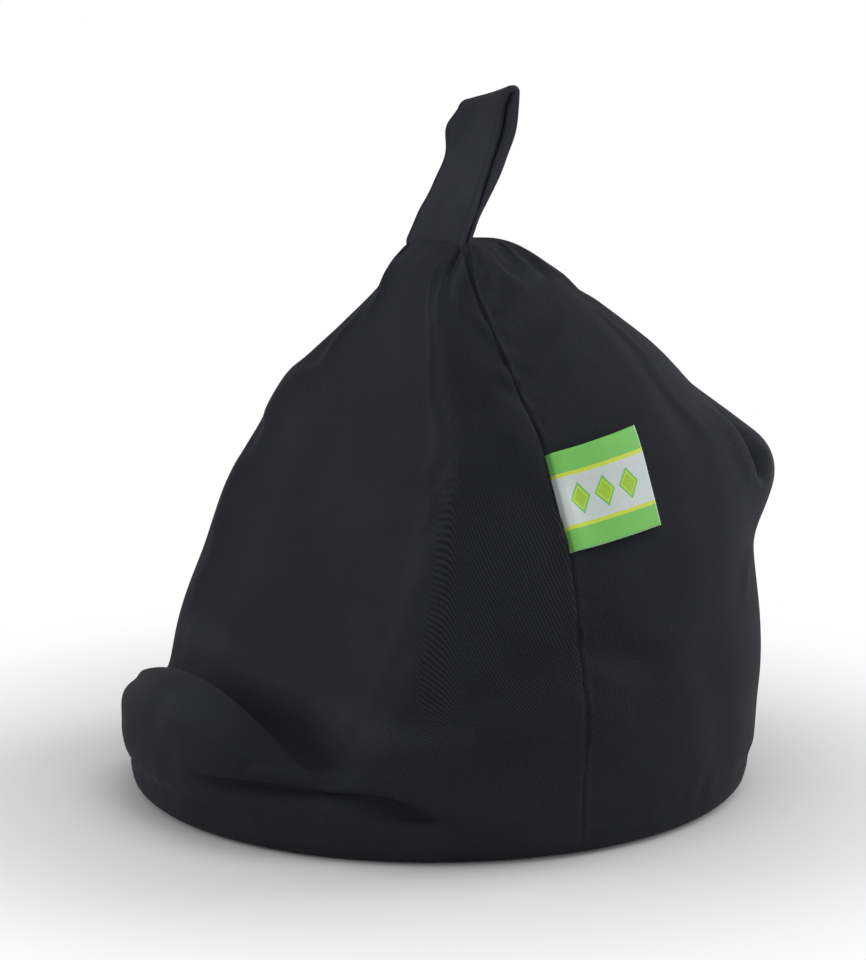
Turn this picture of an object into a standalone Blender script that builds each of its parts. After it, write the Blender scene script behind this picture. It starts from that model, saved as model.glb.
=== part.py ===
"""Stuffed cushion stand: a round-based fabric bag with a sloping front, a lip that holds
whatever is propped on it, a folded carry strap and a sewn-in side label.

Metres, +Z up. The origin is the centre of the base on the floor, -Y is the front, where the
lip is, and the two side seams run up the bag at +X and -X.
"""
import math

import bpy
import numpy as np
from mathutils import Vector
from mathutils.bvhtree import BVHTree

# Bag, overall
BASE_RADIUS = 0.1210          # plan radius of the round base panel
BAG_HEIGHT = 0.2144           # floor to the middle of the top seam
BASE_EDGE_RADIUS = 0.008      # rounding where the wall meets the floor
TOP_SEAM_Y = -0.0005
TOP_SEAM_TILT = 0.136         # the stuffed tip leans: rise of the seam per metre along +X
TILT_START = 0.70             # share of the height at which the tip starts to lean

# Front: the slope, the valley at its foot and the lip
SLOPE_ANGLE = math.radians(21.9)   # of the slope, from the vertical
VALLEY_Y = -0.0815            # foot of the slope
VALLEY_HEIGHT = 0.0290
VALLEY_WIDTH = 0.0085         # flat foot between the slope and the lip
LIP_HEIGHT = 0.0540           # top of the lip at the middle
LIP_FULLNESS = 0.75           # below 1 the lip sinks sooner towards its two ends
LIP_SHOULDER = 0.15           # where the roll starts, as a share of the lip's own height
LIP_SQUARENESS = 0.72         # below 1 the front of the lip has a squarer upper corner
SLOPE_BLEND = 0.014           # softness of the edges of the slope

# Seams
SEAM_DEPTH = 0.0016
SEAM_HALF_WIDTH = 0.0030
BASE_SEAM_HEIGHT = 0.0065

# Mesh of the bag
COLUMNS_PER_QUARTER = 22
ROWS_ABOVE_SEAM = 44
MERIDIAN_SAMPLES = 260
SMOOTHING_PASSES = 12         # along each line up the bag
BLENDING_PASSES = 3           # from each line to its neighbours

# Left between two pieces that touch
CONTACT_GAP = 0.0003

# Strap: one band, folded in half and sewn into the top seam
STRAP_WIDTH = 0.0490
STRAP_PLY = 0.0020            # thickness of one ply
STRAP_RISE = 0.0527           # height of the loop above the seam
STRAP_LEAN = 0.0235           # how far the loop leans back
STRAP_FOOT_GAP = 0.0006       # between the two plies at the seam
STRAP_TOP_GAP = 0.0016        # between the two plies below the fold
STRAP_TOP_TILT = math.radians(15.0)
STRAP_TWIST = math.radians(-2.0)
STRAP_STEPS = 22              # stations along one ply
FOLD_STEPS = 8                # stations round the fold at the top

# The top seam is as long and as thick as the strap that is sewn into it needs
SEAM_MARGIN = 0.0005
TOP_SEAM_LENGTH = STRAP_WIDTH + 2 * SEAM_MARGIN
TOP_SEAM_THICKNESS = 2 * STRAP_PLY + STRAP_FOOT_GAP + 2 * SEAM_MARGIN

# Label: one woven strip, folded in half, its ends sewn into the side seam
LABEL_WIDTH = 0.0395          # along the seam
LABEL_REACH = 0.0415          # from the seam to the fold
LABEL_THICKNESS = 0.0012      # both plies together
LABEL_LOW = 0.1130            # height of its lower corner at the seam
LABEL_SEAT = 0.0005           # between its sewn edge and the cover, which is less flat
LABEL_LIFT = 0.0014           # how much further its folded edge stands off
LABEL_RISE = 0.10             # how much it climbs away from the seam, per metre
LABEL_START = -0.0014         # it comes out of the seam just ahead of the seam line
LABEL_STEPS = 8

# Outline of the stuffed bag, from the floor up, as (share of its height, reach from the axis as a
# share of the base radius). The top seam closes each of the three.
SIDE_OUTLINE = [(0.0, 0.984), (0.140, 0.989), (0.233, 1.016), (0.368, 0.969), (0.471, 0.927),
                (0.616, 0.792), (0.709, 0.697), (0.779, 0.552), (0.844, 0.416), (0.928, 0.263)]
BACK_OUTLINE = [(0.0, 1.0), (0.140, 1.033), (0.303, 1.044), (0.429, 1.033), (0.504, 1.053),
                (0.578, 1.060), (0.639, 0.998), (0.709, 0.862), (0.779, 0.744), (0.849, 0.588),
                (0.9235, 0.412), (0.9585, 0.317), (0.984, 0.216), (0.9963, 0.107)]
FRONT_OUTLINE = [(0.0, 1.0), (0.056, 1.014), (0.121, 1.058), (0.168, 1.034), (0.280, 1.0),
                 (0.466, 0.930), (0.653, 0.790), (0.816, 0.527), (0.928, 0.280)]

# Folds and dents of the stuffed cover. Points are (bearing from the front in degrees, share of
# the height); a positive depth is a crease and a negative one is a swelling.
FOLDS = [
    {"name": "under the lip, left", "depth": 0.0010, "width": 0.0065,
     "points": [(-62, 0.060), (-27, 0.085), (2, 0.110)]},
    {"name": "under the lip", "depth": 0.0027, "width": 0.0060,
     "points": [(9, 0.116), (24, 0.120), (44, 0.124), (57, 0.112), (68, 0.080)]},
    {"name": "gather above, right front", "depth": 0.0016, "width": 0.0070,
     "points": [(88, 0.388), (82, 0.368), (74, 0.339), (69, 0.312)]},
    {"name": "gather below, right front", "depth": 0.0019, "width": 0.0075,
     "points": [(87, 0.215), (79, 0.230), (70, 0.230), (60, 0.236)]},
    {"name": "pleat at the right foot of the strap", "depth": -0.0012, "width": 0.0220,
     "points": [(72, 0.985), (67, 0.970), (60, 0.940), (50, 0.895)]},
    {"name": "pleat at the left foot of the strap", "depth": -0.0012, "width": 0.0220,
     "points": [(-72, 0.985), (-62, 0.968), (-50, 0.940), (-38, 0.895)]},
    {"name": "gather, right back", "depth": 0.0014, "width": 0.0070,
     "points": [(94, 0.378), (103, 0.327)]},
    {"name": "gather above, left front", "depth": 0.0016, "width": 0.0070,
     "points": [(-86, 0.392), (-77, 0.345), (-69, 0.280)]},
    {"name": "gather below, left back", "depth": 0.0016, "width": 0.0070,
     "points": [(-95, 0.270), (-106, 0.233), (-118, 0.210)]},
    {"name": "ear", "depth": -0.0075, "width": 0.0170,
     "points": [(151, 0.580), (158, 0.558)]},
    {"name": "recess under the ear", "depth": 0.0008, "width": 0.0095,
     "points": [(146, 0.468), (160, 0.448)]},
    {"name": "edge of the flap beside the ear", "depth": 0.0032, "width": 0.0055,
     "points": [(150, 0.685), (146, 0.655), (144, 0.625), (145, 0.585)]},
    {"name": "ear on the left", "depth": -0.0045, "width": 0.0180,
     "points": [(-146, 0.569), (-156, 0.546)]},
    {"name": "recess under the left ear", "depth": 0.0030, "width": 0.0110,
     "points": [(-124, 0.457), (-140, 0.443), (-156, 0.438)]},
    {"name": "long fold down the right of the back", "depth": 0.0013, "width": 0.0090,
     "points": [(141, 0.830), (134, 0.750), (130, 0.680), (122, 0.560)]},
    {"name": "long fold down the middle of the back", "depth": 0.0020, "width": 0.0100,
     "points": [(178, 0.877), (174, 0.746), (176, 0.644)]},
    {"name": "long fold down the left of the back", "depth": 0.0020, "width": 0.0095,
     "points": [(-138, 0.830), (-130, 0.737), (-122, 0.597)]},
    {"name": "low dent, right back", "depth": 0.0014, "width": 0.0120,
     "points": [(118, 0.280), (124, 0.140)]},
]


def reach_table(outline, top_reach):
    """An outline in metres, closed by the top seam."""
    table = [(share * BAG_HEIGHT, reach * BASE_RADIUS) for share, reach in outline]
    return table + [(BAG_HEIGHT, top_reach)]


SIDE_REACH = reach_table(SIDE_OUTLINE, TOP_SEAM_LENGTH / 2)
BACK_REACH = reach_table(BACK_OUTLINE, TOP_SEAM_THICKNESS / 2)
FRONT_REACH = reach_table(FRONT_OUTLINE, TOP_SEAM_THICKNESS / 2)


def smooth_value(table, height):
    """Monotone cubic through (height, value) pairs, so it never overshoots its points."""
    x = np.array([row[0] for row in table])
    y = np.array([row[1] for row in table])
    step = np.diff(x)
    slope = np.diff(y) / step
    tangent = np.concatenate(([slope[0]], np.zeros(len(x) - 2), [slope[-1]]))
    for i in range(1, len(x) - 1):
        if slope[i - 1] * slope[i] > 0:
            before = 2 * step[i] + step[i - 1]
            after = step[i] + 2 * step[i - 1]
            tangent[i] = (before + after) / (before / slope[i - 1] + after / slope[i])
    i = np.clip(np.searchsorted(x, height) - 1, 0, len(x) - 2)
    t = np.clip((height - x[i]) / step[i], 0.0, 1.0)
    start = (1 + 2 * t) * (1 - t) ** 2 * y[i] + t * (1 - t) ** 2 * step[i] * tangent[i]
    end = t * t * (3 - 2 * t) * y[i + 1] + t * t * (t - 1) * step[i] * tangent[i + 1]
    return start + end


def smooth_step(low, high, value):
    t = np.clip((value - low) / (high - low), 0.0, 1.0)
    return t * t * (3 - 2 * t)


def smooth_max(a, b, softness):
    mix = np.clip(0.5 + 0.5 * (a - b) / softness, 0.0, 1.0)
    return b + (a - b) * mix + softness * mix * (1 - mix)


def wall(bearing, height):
    """Point of the plain wall, an ellipse at each height; bearing is 0 at the front."""
    along = np.cos(bearing)
    reach = smooth_value(FRONT_REACH if along > 0 else BACK_REACH, height)
    x = smooth_value(SIDE_REACH, height) * np.sin(bearing)
    y = -reach * along
    y = y + TOP_SEAM_Y * smooth_step(TILT_START * BAG_HEIGHT, BAG_HEIGHT, height)
    return x, y


def slope_y(height):
    """The flat slope that things rest against."""
    return VALLEY_Y + (height - VALLEY_HEIGHT) * math.tan(SLOPE_ANGLE)


def resample(points, places):
    """Points at the given shares (0 to 1) of a polyline's length."""
    length = np.concatenate(([0.0], np.cumsum(np.linalg.norm(np.diff(points, axis=0), axis=1))))
    return np.stack([np.interp(places * length[-1], length, points[:, k]) for k in range(3)], axis=1)


def upper_wall(bearing, start):
    """Dense points from the height start up to the top seam, over the lip where there is one."""
    points = []
    first = start
    in_front = np.cos(bearing) > 1e-9
    if in_front:
        x, y = wall(bearing, VALLEY_HEIGHT)
        foot_y = min(VALLEY_Y, max(VALLEY_Y - VALLEY_WIDTH, y))
        full_depth = smooth_value(FRONT_REACH, VALLEY_HEIGHT) + VALLEY_Y - VALLEY_WIDTH
        share = np.clip((foot_y - y) / full_depth, 0.0, 1.0)
        crest = VALLEY_HEIGHT + (LIP_HEIGHT - VALLEY_HEIGHT) * share ** (1 / LIP_FULLNESS)
        shoulder = VALLEY_HEIGHT + LIP_SHOULDER * (crest - VALLEY_HEIGHT)
        for height in np.linspace(start, shoulder, 24):
            x, y = wall(bearing, height)
            points.append((x, y, height))
        middle = (y + foot_y) / 2
        half = (foot_y - y) / 2
        if half > 0:
            for turn in np.linspace(0, math.pi, 26)[1:]:
                before = turn < math.pi / 2
                low = shoulder if before else VALLEY_HEIGHT
                power = LIP_SQUARENESS if before else 1.0
                height = low + (crest - low) * math.sin(turn) ** power
                y = middle - math.copysign(half * abs(math.cos(turn)) ** power, math.cos(turn))
                points.append((x, y, height))
        first = VALLEY_HEIGHT if half > 0 else shoulder
    heights = first + (BAG_HEIGHT - first) * (1 - (1 - np.linspace(0, 1, 120)) ** 1.6)
    for height in heights[1:]:
        x, y = wall(bearing, height)
        if in_front:
            edge = TOP_SEAM_Y - TOP_SEAM_THICKNESS / 2 * np.cos(bearing)
            y = min(smooth_max(y, slope_y(height), SLOPE_BLEND), edge)
        points.append((x, y, height))
    return np.array(points)


def meridian(bearing):
    """One line up the bag: the rounded base edge, the base seam, then ROWS_ABOVE_SEAM points."""
    rows = []
    for turn in np.radians([-90, -62, -34, -8]):
        x, y = wall(bearing, BASE_EDGE_RADIUS)
        size = math.hypot(x, y)
        inward = 1 - BASE_EDGE_RADIUS * (1 - math.cos(turn)) / size
        rows.append((x * inward, y * inward, BASE_EDGE_RADIUS * (1 + math.sin(turn))))
    start = BASE_SEAM_HEIGHT + SEAM_HALF_WIDTH
    upper = upper_wall(bearing, start)
    dense = resample(upper, np.linspace(0, 1, MERIDIAN_SAMPLES))
    for _ in range(SMOOTHING_PASSES):
        dense[1:-1] = (dense[:-2] + 2 * dense[1:-1] + dense[2:]) / 4
    upper = resample(dense, np.linspace(0, 1, ROWS_ABOVE_SEAM))
    return np.concatenate((np.array(rows), upper))


def lean(points):
    """The stuffed tip leans over: its height rises along +X."""
    leant = points.copy()
    leant[..., 2] += TOP_SEAM_TILT * points[..., 0] * smooth_step(
        TILT_START * BAG_HEIGHT, BAG_HEIGHT, points[..., 2])
    return leant


def bearings():
    """Columns round the bag, with one on each side seam and one close on either side of it."""
    beside = SEAM_HALF_WIDTH / BASE_RADIUS
    quarter = np.linspace(0, math.pi / 2 - beside, COLUMNS_PER_QUARTER)
    right_front = np.concatenate((quarter, [math.pi / 2]))
    right = np.concatenate((right_front, (math.pi - right_front)[-2::-1]))
    return np.concatenate((right, -right[-2:0:-1]))


def fold_depth(bearing, height):
    """How far the cover is pushed in at a place, from the list of folds."""
    total = 0.0
    for fold in FOLDS:
        best = None
        chain = fold["points"]
        for (deg_a, high_a), (deg_b, high_b) in zip(chain[:-1], chain[1:]):
            round_a = math.radians(deg_a)
            across = math.remainder(bearing - round_a, 2 * math.pi) * BASE_RADIUS
            up = height - high_a * BAG_HEIGHT
            run = (math.radians(deg_b) - round_a) * BASE_RADIUS
            rise = (high_b - high_a) * BAG_HEIGHT
            t = (across * run + up * rise) / (run * run + rise * rise)
            inside = min(max(t, 0.0), 1.0)
            near = math.hypot(across - run * inside, up - rise * inside)
            best = near if best is None else min(best, near)
        total += fold["depth"] * math.exp(-(best / fold["width"]) ** 2)
    return total


def seam_depth(bearing, height):
    """V grooves along the two side seams and round the base seam."""
    side = abs(abs(bearing) - math.pi / 2) * BASE_RADIUS
    groove = max(0.0, 1 - side / SEAM_HALF_WIDTH)
    base = max(0.0, 1 - abs(height - BASE_SEAM_HEIGHT) / SEAM_HALF_WIDTH)
    return SEAM_DEPTH * max(groove, base)


def bag_grid():
    """The cover as a grid of points, columns round the bag by rows up it."""
    around = bearings()
    grid = np.array([meridian(bearing) for bearing in around])
    for _ in range(BLENDING_PASSES):
        beside = (np.roll(grid, -1, axis=0) + np.roll(grid, 1, axis=0)) / 2
        grid[:, 5:-1] = (grid[:, 5:-1] + beside[:, 5:-1]) / 2
    across = np.roll(grid, -1, axis=0) - np.roll(grid, 1, axis=0)
    up = np.gradient(grid, axis=1)
    normal = np.cross(across, up)
    normal /= np.maximum(np.linalg.norm(normal, axis=2, keepdims=True), 1e-9)
    for i, bearing in enumerate(around):
        for j in range(2, grid.shape[1] - 1):
            height = grid[i, j, 2]
            depth = seam_depth(bearing, height)
            if j > 3:
                depth += fold_depth(bearing, height)
            grid[i, j] -= depth * normal[i, j]
    return lean(grid)


def add_object(name, vertices, faces, material):
    mesh = bpy.data.meshes.new(name)
    mesh.from_pydata([tuple(float(value) for value in point) for point in vertices], [], faces)
    mesh.validate()
    mesh.shade_smooth()
    mesh.set_sharp_from_angle(angle=math.radians(40))
    mesh.materials.append(material)
    piece = bpy.data.objects.new(name, mesh)
    bpy.context.scene.collection.objects.link(piece)
    return piece


def make_bag(material):
    grid = bag_grid()
    columns, rows = grid.shape[:2]
    vertices = grid.reshape(-1, 3)
    faces = []
    for i in range(columns):
        beside = (i + 1) % columns
        for j in range(rows - 1):
            faces.append((i * rows + j, beside * rows + j, beside * rows + j + 1, i * rows + j + 1))
    faces.append([i * rows for i in reversed(range(columns))])
    faces.append([i * rows + rows - 1 for i in range(columns)])
    return add_object("stuffed_bag", vertices, faces, material)


def strap_station(share, rear):
    """Middle of one ply at a share of its height, its width direction and the gap there."""
    foot_tilt = math.atan(TOP_SEAM_TILT)
    tilt = foot_tilt + (STRAP_TOP_TILT - foot_tilt) * share
    twist = STRAP_TWIST * smooth_step(0.0, 0.7, share)
    level = np.array([math.cos(twist), math.sin(twist), 0.0])
    wide = level * math.cos(tilt) + np.array([0.0, 0.0, math.sin(tilt)])
    bend = smooth_step(-0.3, 0.95, share) - smooth_step(-0.3, 0.95, 0.0)
    gap = STRAP_FOOT_GAP + (STRAP_TOP_GAP - STRAP_FOOT_GAP) * smooth_step(0.05, 0.9, share)
    side = (gap + STRAP_PLY) / 2 if rear else -(gap + STRAP_PLY) / 2
    y = TOP_SEAM_Y + STRAP_LEAN * bend + side
    z = BAG_HEIGHT + CONTACT_GAP + STRAP_RISE * share
    return np.array([0.0, y, z]), wide


def strap_path():
    """Stations up the front ply, over the fold and down the rear ply."""
    shares = np.linspace(0, 1, STRAP_STEPS)
    front = [strap_station(share, False) for share in shares]
    rear = [strap_station(share, True) for share in reversed(shares)]
    top, wide = (front[-1][0] + rear[0][0]) / 2, front[-1][1]
    radius = (STRAP_TOP_GAP + STRAP_PLY) / 2
    fold = []
    for turn in np.linspace(0, math.pi, FOLD_STEPS + 1)[1:-1]:
        fold.append((top + np.array([0.0, -radius * math.cos(turn), radius * math.sin(turn)]), wide))
    return front + fold + rear


def make_strap(material):
    """The band's rectangular section swept along the path; its feet stand on the top seam."""
    path = strap_path()
    vertices = []
    for k, (middle, wide) in enumerate(path):
        ahead = path[min(k + 1, len(path) - 1)][0] - path[max(k - 1, 0)][0]
        if k in (0, len(path) - 1):
            ahead = np.array([0.0, 0.0, 1.0 if k == 0 else -1.0])
        outward = np.cross(wide, ahead)
        outward /= np.linalg.norm(outward)
        for along, out in ((-1, 1), (1, 1), (1, -1), (-1, -1)):
            vertices.append(middle + wide * along * STRAP_WIDTH / 2 + outward * out * STRAP_PLY / 2)
    faces = [(3, 2, 1, 0)]
    for k in range(len(path) - 1):
        for corner in range(4):
            after = (corner + 1) % 4
            low = 4 * k
            faces.append((low + corner, low + after, low + 4 + after, low + 4 + corner))
    last = 4 * (len(path) - 1)
    faces.append((last, last + 1, last + 2, last + 3))
    return add_object("carry_strap", vertices, faces, material)


def label_point(along, across):
    """Place on the bag's wall under the label: along the seam, and across towards the back."""
    middle = LABEL_LOW + LABEL_WIDTH / 2
    lean = (smooth_value(SIDE_REACH, middle + 0.01) - smooth_value(SIDE_REACH, middle - 0.01)) / 0.02
    height = LABEL_LOW + along / math.hypot(1.0, lean) + across * LABEL_RISE
    x, y = wall(math.pi / 2 + across / smooth_value(BACK_REACH, height), height)
    return np.array([x, y, height])


def label_ground(cover, along, across):
    """Point of the sewn cover under the label, bridging the seam's groove, and its normal."""
    step = 0.0005
    beyond = max(across, SEAM_HALF_WIDTH)
    place = label_point(along, beyond)
    normal = np.cross(label_point(along, beyond + step) - place, label_point(along + step, beyond) - place)
    normal /= np.linalg.norm(normal)
    start = Vector(place + normal * BASE_EDGE_RADIUS)
    reach = cover.ray_cast(start, Vector(-normal))[3]
    return label_point(along, across) + normal * (BASE_EDGE_RADIUS - reach), normal


def make_label(material, cover):
    """The strip's section swept down the seam: out of the seam, then along the cover."""
    steps = LABEL_STEPS
    rings = []
    for i in range(steps + 1):
        outer = []
        inner = []
        for j in range(steps + 1):
            across = LABEL_START + LABEL_REACH * j / steps
            place, normal = label_ground(cover, LABEL_WIDTH * i / steps, across)
            lift = LABEL_SEAT + LABEL_LIFT * smooth_step(0.1, 0.6, j / steps)
            inner.append(place + normal * lift)
            outer.append(place + normal * (lift + LABEL_THICKNESS))
        rings.append(outer + inner[::-1])
    count = len(rings[0])
    vertices = [point for ring in rings for point in ring]
    faces = []
    for i in range(steps):
        for j in range(count):
            after = (j + 1) % count
            faces.append((i * count + after, (i + 1) * count + after, (i + 1) * count + j, i * count + j))
    for j in range(steps):
        faces.append((count - 1 - j, count - 2 - j, j + 1, j))
        high = steps * count
        faces.append((high + j, high + j + 1, high + count - 2 - j, high + count - 1 - j))
    return add_object("side_label", vertices, faces, material)


def make_material(name, colour, roughness):
    material = bpy.data.materials.new(name)
    material.use_nodes = True
    shader = material.node_tree.nodes["Principled BSDF"]
    shader.inputs["Base Color"].default_value = (*colour, 1.0)
    shader.inputs["Roughness"].default_value = roughness
    shader.inputs["Metallic"].default_value = 0.0
    return material


def main():
    for piece in list(bpy.data.objects):
        bpy.data.objects.remove(piece, do_unlink=True)
    bag = make_bag(make_material("black cotton drill", (0.018, 0.019, 0.022), 0.85))
    cover = BVHTree.FromPolygons([point.co for point in bag.data.vertices],
                                 [face.vertices[:] for face in bag.data.polygons])
    make_strap(make_material("black cotton drill, folded band", (0.026, 0.027, 0.033), 0.80))
    make_label(make_material("green woven label", (0.19, 0.54, 0.12), 0.55), cover)


main()
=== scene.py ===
# Cushion stand: a bead-filled bag of black cotton drill with a sloping front, a lip at its
# foot, a folded carry strap and a woven side label. Metres, +Z up, -Y is the front.
import math

import bmesh
import bpy
import numpy as np
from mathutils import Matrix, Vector
from mathutils.bvhtree import BVHTree


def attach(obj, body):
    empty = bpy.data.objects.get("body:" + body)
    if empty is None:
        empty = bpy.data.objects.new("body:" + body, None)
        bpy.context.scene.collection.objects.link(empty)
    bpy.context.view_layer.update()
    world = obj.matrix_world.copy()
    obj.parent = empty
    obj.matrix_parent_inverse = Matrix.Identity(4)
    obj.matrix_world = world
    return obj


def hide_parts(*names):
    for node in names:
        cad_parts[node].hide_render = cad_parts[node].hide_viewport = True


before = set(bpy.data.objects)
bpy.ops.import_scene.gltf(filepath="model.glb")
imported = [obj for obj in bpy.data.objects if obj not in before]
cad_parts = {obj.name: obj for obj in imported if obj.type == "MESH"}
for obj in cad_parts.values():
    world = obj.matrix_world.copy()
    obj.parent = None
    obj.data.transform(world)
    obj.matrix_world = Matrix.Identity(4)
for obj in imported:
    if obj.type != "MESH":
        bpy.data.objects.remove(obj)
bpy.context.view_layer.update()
mm = 0.001


# Small helpers

def hexColour(code):  # sRGB hex to the linear colour that a shader socket takes
    parts = [int(code[i:i + 2], 16) / 255 for i in (1, 3, 5)]
    return tuple(c / 12.92 if c <= 0.04045 else ((c + 0.055) / 1.055) ** 2.4
                 for c in parts) + (1.0,)


def ease(low, high, value):
    t = np.clip((value - low) / (high - low), 0.0, 1.0)
    return t * t * (3 - 2 * t)


def smoothMax(a, b, softness):
    mix = np.clip(0.5 + 0.5 * (a - b) / softness, 0.0, 1.0)
    return b + (a - b) * mix + softness * mix * (1 - mix)


def curveThrough(table, height):  # monotone cubic, so it never overshoots its points
    x = np.array([row[0] for row in table])
    y = np.array([row[1] for row in table])
    step = np.diff(x)
    slope = np.diff(y) / step
    tangent = np.concatenate(([slope[0]], np.zeros(len(x) - 2), [slope[-1]]))
    for i in range(1, len(x) - 1):
        if slope[i - 1] * slope[i] > 0:
            before = 2 * step[i] + step[i - 1]
            after = step[i] + 2 * step[i - 1]
            tangent[i] = (before + after) / (before / slope[i - 1] + after / slope[i])
    i = np.clip(np.searchsorted(x, height) - 1, 0, len(x) - 2)
    t = np.clip((height - x[i]) / step[i], 0.0, 1.0)
    start = (1 + 2 * t) * (1 - t) ** 2 * y[i] + t * (1 - t) ** 2 * step[i] * tangent[i]
    end = t * t * (3 - 2 * t) * y[i + 1] + t * t * (t - 1) * step[i] * tangent[i + 1]
    return start + end


def travelled(points, axis=0):  # distance along a line of points, from 0 at its start
    steps = np.linalg.norm(np.diff(points, axis=axis), axis=-1)
    return np.insert(np.cumsum(steps, axis=axis), 0, 0.0, axis=axis)


def resample(points, places):  # at the given shares, 0 to 1, of a polyline's length
    length = travelled(points)
    return np.stack([np.interp(places * length[-1], length, points[:, k]) for k in range(3)],
                    axis=1)


def unit(vectors):
    size = np.linalg.norm(vectors, axis=-1, keepdims=True)
    return vectors / np.maximum(size, 1e-12)


def setAll(thing, settings):
    for key, value in settings.items():
        setattr(thing, key, value)


def inMetres(**lengths):  # given in mm
    return {name: length * mm for name, length in lengths.items()}


def addObject(name, data):
    thing = bpy.data.objects.new(name, data)
    bpy.context.scene.collection.objects.link(thing)
    return thing


def addPiece(name, vertices, faces, material, uvs=None):
    mesh = bpy.data.meshes.new(name)
    mesh.from_pydata([tuple(map(float, point)) for point in vertices], [], faces)
    if uvs is not None:
        layer = mesh.uv_layers.new(name="weave")
        layer.data.foreach_set("uv", np.asarray(uvs, dtype=np.float32).ravel())
    mesh.shade_smooth()
    mesh.materials.append(material)
    return addObject(name, mesh)


def addFloats(piece, name, values):  # one number per vertex, which the shaders read
    layer = piece.data.attributes.new(name, "FLOAT", "POINT")
    layer.data.foreach_set("value", np.asarray(values, dtype=np.float32))


def aim(thing, place, direction):
    thing.location = place
    thing.rotation_euler = Vector(direction).to_track_quat("-Z", "Y").to_euler()


def quadList(*corners):
    return [tuple(map(int, quad)) for quad in np.stack(corners, axis=-1).reshape(-1, 4)]


# Camera, solved from the photograph

camera = {"place": (1.5275, -0.7731, 0.5082), "forward": (-0.87078, 0.43915, -0.22112),
          "lens": {"sensor_fit": "VERTICAL", "sensor_height": 36.0, "sensor_width": 36.0,
                   "lens": 168.71, "clip_start": 0.05, "clip_end": 40.0}}

eye = addObject("studioCamera", bpy.data.cameras.new("studioCamera"))
setAll(eye.data, camera["lens"])
aim(eye, camera["place"], camera["forward"])
bpy.context.scene.camera = eye


# Materials

def plugIn(node, inputs):  # numbers, hex colours, sockets, and nodes for their first output
    for key, value in inputs.items():
        value = getattr(value, "outputs", [value])[0]
        if isinstance(value, bpy.types.NodeSocket):
            node.id_data.links.new(value, node.inputs[key])
        else:
            node.inputs[key].default_value = hexColour(value) if isinstance(value, str) else value


def addNode(tree, kind, settings=None, inputs=None):  # a shader node goes by its short name
    node = tree.nodes.new(kind if "Node" in kind else "ShaderNode" + kind)
    setAll(node, settings or {})
    plugIn(node, inputs or {})
    return node


def math2(operation, a, b=0.0):
    return addNode(a.id_data, "Math", {"operation": operation}, {0: a, 1: b}).outputs[0]


def mixColour(tree, factor, a, b, blend="MIX"):
    return addNode(tree, "Mix", {"data_type": "RGBA", "blend_type": blend},
                   {0: factor, 6: a, 7: b}).outputs[2]


def newMaterial(name):
    material = bpy.data.materials.new(name)
    material.use_nodes = True
    return material, material.node_tree, material.node_tree.nodes["Principled BSDF"]


def times(a, b):
    return math2("MULTIPLY", a, b)


def scaled(value, factor, offset):
    return math2("ADD", times(value, factor), offset)


def below(a, b):
    return math2("LESS_THAN", a, b)


def apart(a, b):
    return math2("ABSOLUTE", math2("SUBTRACT", a, b))


def clothInMm(tree, angle=0.0):  # place on the flat cloth in mm, turned by an angle in degrees
    cloth = addNode(tree, "UVMap", {"uv_map": "weave"})
    return addNode(tree, "Mapping", inputs={
        "Vector": cloth, "Scale": (1000, 1000, 1000),
        "Rotation": (0, 0, math.radians(angle))}).outputs[0]


def objectPlace(tree):
    return addNode(tree, "TexCoord").outputs["Object"]


def noise(vector, scale, detail=2.0):
    return addNode(vector.id_data, "TexNoise", inputs={
        "Vector": vector, "Scale": scale, "Detail": detail}).outputs["Fac"]


wavePitch = 0.31416  # a wave texture's scale for bands one unit apart


def bands(vector, direction, pitch, distortion, detail=2.0, detailScale=1.0):
    return addNode(vector.id_data, "TexWave", {"bands_direction": direction},
                   {"Vector": vector, "Scale": wavePitch / pitch, "Distortion": distortion,
                    "Detail": detail, "Detail Scale": detailScale}).outputs["Fac"]


def toned(colour, shade):
    tone = addNode(shade.id_data, "CombineColor",
                   inputs={"Red": shade, "Green": shade, "Blue": shade})
    return mixColour(shade.id_data, 1.0, colour, tone, "MULTIPLY")


def finishShader(shader, colour, roughness, specular, relief=None):
    plugIn(shader, {"Base Color": colour, "Roughness": roughness, "Specular IOR Level": specular})
    if relief:
        height, strength, deep = relief
        bump = addNode(shader.id_data, "Bump", inputs={"Height": height, "Strength": strength,
                                                       "Distance": deep})
        plugIn(shader, {"Normal": bump})


drill = {
    "rib": "#2f3036", "groove": "#1b1c20", "paleWornAndLit": "#35363b", "lint": "#55575c",  # dyed black
    "pitch": 0.95,          # mm between the diagonal lines of the twill
    "angle": 0.0,           # degrees from the weft to a line's normal, where a panel isn't turned
    "yarn": 0.55,           # mm, one yarn along a line
    "slubScale": (1.6, 0.22, 1.0),  # per mm, slubs are long and thin
    "lineShare": 0.75, "yarnShare": 0.12, "slubShare": 0.15,  # of each in the colour
    "blotch": 35.0,         # mm, size of the soft patches where the dye has rubbed
    "lintSpacing": 30.0, "lintSize": 0.5, "lintAbove": 0.6,  # mm, mm, the chance of none
    "specular": 0.07, "roughness": 0.9, "sheen": 0.03, "sheenRoughness": 0.4,
}
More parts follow.
